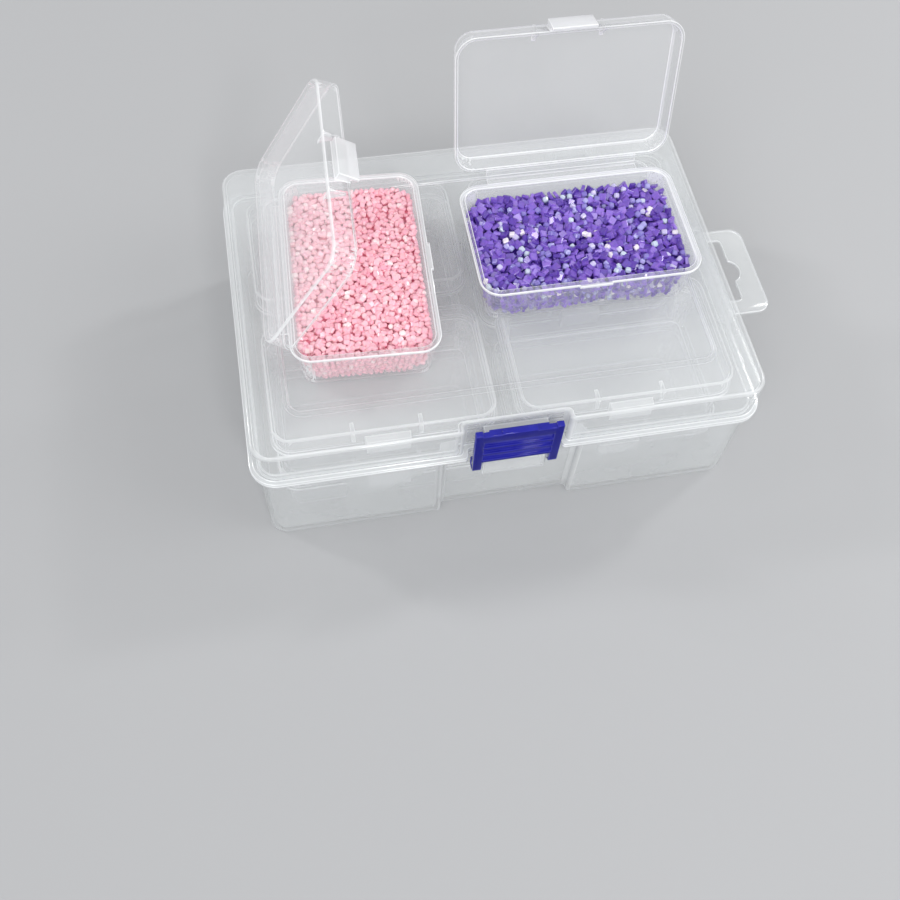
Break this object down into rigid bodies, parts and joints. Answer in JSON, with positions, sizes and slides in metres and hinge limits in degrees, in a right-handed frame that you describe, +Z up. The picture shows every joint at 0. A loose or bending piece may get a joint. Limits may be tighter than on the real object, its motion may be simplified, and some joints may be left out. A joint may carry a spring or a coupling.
{
  "type": "bead storage box",
  "caption": "Frosted clear storage case with a hinged lid, a coloured front latch and a hang tab, holding small flip-lid boxes, with two open boxes of beads standing on its lid.",
  "frame": {"origin": "middle of the case's flat underside", "axes": "+X along the case's long side towards the hang tab, -Y towards the latch, +Z up"},
  "size_m": [0.2159, 0.1492, 0.138],
  "materials": {
    "case_plastic": "frosted translucent",
    "box_plastic": "frosted translucent",
    "latch_blue": "glossy",
    "purple_beads": "glossy",
    "pink_beads": "glossy"
  },
  "bodies": {
    "case_base": {"case_base": "case_plastic", "lower_left_front_tray": "box_plastic", "lower_left_front_cover": "box_plastic", "lower_left_back_tray": "box_plastic", "lower_left_back_cover": "box_plastic", "lower_right_front_tray": "box_plastic", "lower_right_front_cover": "box_plastic", "lower_right_back_tray": "box_plastic", "lower_right_back_cover": "box_plastic", "upper_left_front_tray": "box_plastic", "upper_left_front_cover": "box_plastic", "upper_left_back_tray": "box_plastic", "upper_left_back_cover": "box_plastic", "upper_right_front_tray": "box_plastic", "upper_right_front_cover": "box_plastic", "upper_right_back_tray": "box_plastic", "upper_right_back_cover": "box_plastic"},
    "case_lid": {"case_lid": "case_plastic"},
    "latch": {"latch": "latch_blue"},
    "hang_tab": {"hang_tab": "case_plastic"},
    "purple_box": {"purple_tray": "box_plastic", "purple_beads": "purple_beads"},
    "purple_cover": {"purple_cover": "box_plastic"},
    "pink_box": {"pink_tray": "box_plastic", "pink_beads": "pink_beads"},
    "pink_cover": {"pink_cover": "box_plastic"}
  },
  "joints": [
    {"name": "lid_hinge", "type": "hinge", "parent": "case_base", "child": "case_lid", "pos_m": [0, 0.0742, 0.045], "axis": [-1, 0, 0], "range_deg": [0, 105]},
    {"name": "latch_hinge", "type": "hinge", "parent": "case_base", "child": "latch", "pos_m": [0, -0.0693, 0.0388], "axis": [1, 0, 0], "range_deg": [0, 110]},
    {"name": "tab_hinge", "type": "hinge", "parent": "case_base", "child": "hang_tab", "pos_m": [0.0998, 0.0015, 0.0425], "axis": [0, 1, 0], "range_deg": [0, 90]},
    {"name": "purple_lift", "type": "slide", "parent": "case_lid", "child": "purple_box", "axis": [0, 0, 1], "range_m": [0, 0.1]},
    {"name": "purple_cover_hinge", "type": "hinge", "parent": "purple_box", "child": "purple_cover", "pos_m": [0.03715, 0.03265, 0.0799], "axis": [-1, 0, 0], "range_deg": [-103, 75]},
    {"name": "pink_lift", "type": "slide", "parent": "case_lid", "child": "pink_box", "axis": [0, 0, 1], "range_m": [0, 0.1]},
    {"name": "pink_cover_hinge", "type": "hinge", "parent": "pink_box", "child": "pink_cover", "pos_m": [-0.07807, 0.00038, 0.0799], "axis": [-0.0461, -0.9989, 0], "range_deg": [-59.5, 118.5]}
  ]
}
